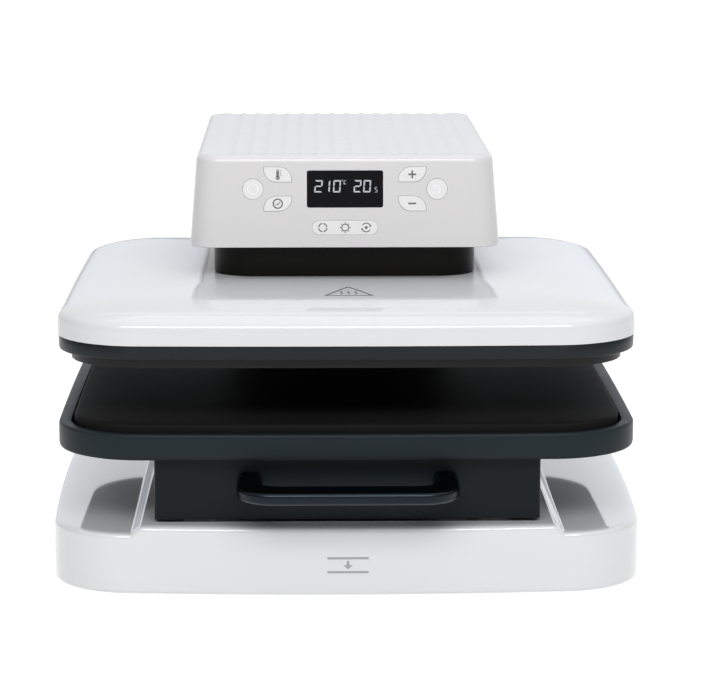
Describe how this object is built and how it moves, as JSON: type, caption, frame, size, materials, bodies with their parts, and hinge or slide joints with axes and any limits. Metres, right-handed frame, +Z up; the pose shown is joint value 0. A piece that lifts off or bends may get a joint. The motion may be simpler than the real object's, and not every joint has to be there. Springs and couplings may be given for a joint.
{
  "type": "heat press",
  "caption": "Desktop heat press: a motor-lowered heated platen over a padded sliding tray, with a control head on a rear column.",
  "frame": {"origin": "on the table, under the centre of the whole machine", "axes": "+Z up, -Y towards the user (the drawer opens along -Y), +X to the user's right"},
  "size_m": [0.4156, 0.5022, 0.2874],
  "materials": {
    "white_gloss": "gloss",
    "panel_white": "satin gloss",
    "key_white": "satin",
    "charcoal_paint": "satin",
    "charcoal_plastic": "satin",
    "black_plastic": "satin",
    "black_glass": "gloss",
    "silicone": "satin",
    "foot_rubber": "matte",
    "plate_coating": "satin non-stick",
    "steel_zinc": "zinc plated",
    "steel_dark": "blackened",
    "brass": "machined",
    "nylon": "satin",
    "circuit_board": "solder mask",
    "insulation": "rough",
    "display_body": "satin"
  },
  "bodies": {
    "stand": {"base_shell": "white_gloss", "base_plate": "steel_zinc", "rubber_feet": "foot_rubber", "base_screws": "steel_dark", "runner_brackets": "steel_zinc", "outer_rails": "steel_zinc", "column_frame": "steel_zinc", "column_cover": "white_gloss", "head_frame": "steel_zinc", "head_base": "panel_white", "head_cover": "panel_white", "head_screws": "steel_dark", "neck_housing": "black_plastic", "guide_rods": "steel_zinc", "screw_bearing": "steel_zinc", "lift_motor": "steel_zinc", "display_window": "black_glass", "display_module": "display_body", "control_board": "circuit_board", "indicator_lens": "key_white", "power_board": "circuit_board", "inlet_socket": "black_plastic", "fuse_holder": "black_plastic", "switch_housing": "black_plastic"},
    "upper_platen": {"lift_bracket": "steel_zinc", "lift_nut": "brass", "guide_bushes": "brass", "lift_sleeve": "black_plastic", "carrier_plate": "steel_zinc", "upper_cover": "white_gloss", "platen_frame": "charcoal_plastic", "standoffs": "steel_zinc", "insulation_board": "insulation", "heating_plate": "plate_coating", "heating_tubes": "steel_dark", "tube_clamps": "steel_zinc", "thermostat": "steel_dark", "platen_screws": "steel_dark"},
    "screw_set": {"lead_screw": "steel_zinc", "screw_gear": "nylon"},
    "idler": {"idler_gear": "nylon"},
    "pinion": {"motor_pinion": "brass"},
    "drawer": {"inner_rails": "steel_zinc", "drawer_box": "charcoal_paint", "lower_tray": "charcoal_paint", "backing_board": "insulation", "press_pad": "silicone", "handle": "charcoal_paint", "handle_screws": "steel_dark", "tray_screws": "steel_dark"},
    "middle_slides": {"middle_rails": "steel_zinc"},
    "outer_cages": {"outer_ball_cages": "brass"},
    "inner_cages": {"inner_ball_cages": "brass"},
    "power_button": {"power_key": "key_white"},
    "temperature_button": {"temperature_key": "key_white"},
    "timer_button": {"timer_key": "key_white"},
    "plus_button": {"plus_key": "key_white"},
    "minus_button": {"minus_key": "key_white"},
    "mode_button": {"mode_key": "key_white"},
    "rocker": {"switch_rocker": "black_plastic"}
  },
  "joints": [
    {"name": "platen_slide", "type": "slide", "parent": "stand", "child": "upper_platen", "axis": [0, 0, -1], "range_m": [0, 0.038]},
    {"name": "screw_spin", "type": "hinge", "parent": "stand", "child": "screw_set", "pos_m": [0, -0.011, 0.22], "axis": [0, 0, 1], "range_deg": [0, 856]},
    {"name": "idler_spin", "type": "hinge", "parent": "stand", "child": "idler", "pos_m": [0, 0.034, 0.276], "axis": [0, 0, 1], "range_deg": [-1284, 0]},
    {"name": "pinion_spin", "type": "hinge", "parent": "stand", "child": "pinion", "pos_m": [0, 0.061, 0.276], "axis": [0, 0, 1], "range_deg": [0, 2566]},
    {"name": "drawer_slide", "type": "slide", "parent": "stand", "child": "drawer", "axis": [0, -1, 0], "range_m": [0, 0.26]},
    {"name": "middle_rail_slide", "type": "slide", "parent": "stand", "child": "middle_slides", "axis": [0, -1, 0], "range_m": [0, 0.131]},
    {"name": "outer_cage_slide", "type": "slide", "parent": "stand", "child": "outer_cages", "axis": [0, -1, 0], "range_m": [0, 0.066]},
    {"name": "inner_cage_slide", "type": "slide", "parent": "stand", "child": "inner_cages", "axis": [0, -1, 0], "range_m": [0, 0.196]},
    {"name": "power_press", "type": "slide", "parent": "stand", "child": "power_button", "axis": [0, 0.9943, -0.1071], "range_m": [0, 0.0008], "stiffness_N_per_m": 600},
    {"name": "temperature_press", "type": "slide", "parent": "stand", "child": "temperature_button", "axis": [0, 0.9943, -0.1071], "range_m": [0, 0.0008], "stiffness_N_per_m": 600},
    {"name": "timer_press", "type": "slide", "parent": "stand", "child": "timer_button", "axis": [0, 0.9943, -0.1071], "range_m": [0, 0.0008], "stiffness_N_per_m": 600},
    {"name": "plus_press", "type": "slide", "parent": "stand", "child": "plus_button", "axis": [0, 0.9943, -0.1071], "range_m": [0, 0.0008], "stiffness_N_per_m": 600},
    {"name": "minus_press", "type": "slide", "parent": "stand", "child": "minus_button", "axis": [0, 0.9943, -0.1071], "range_m": [0, 0.0008], "stiffness_N_per_m": 600},
    {"name": "mode_press", "type": "slide", "parent": "stand", "child": "mode_button", "axis": [0, 0.9943, -0.1071], "range_m": [0, 0.0008], "stiffness_N_per_m": 600},
    {"name": "mains_switch", "type": "hinge", "parent": "stand", "child": "rocker", "pos_m": [-0.04, 0.246, 0.084], "axis": [-1, 0, 0], "range_deg": [0, 18]}
  ],
  "couplings": [
    {"joint": "screw_spin", "follows": "platen_slide", "rad_per_m": 392.7},
    {"joint": "idler_spin", "follows": "platen_slide", "rad_per_m": -589.05},
    {"joint": "pinion_spin", "follows": "platen_slide", "rad_per_m": 1178.1},
    {"joint": "middle_rail_slide", "follows": "drawer_slide", "ratio": 0.5},
    {"joint": "outer_cage_slide", "follows": "drawer_slide", "ratio": 0.25},
    {"joint": "inner_cage_slide", "follows": "drawer_slide", "ratio": 0.75}
  ]
}
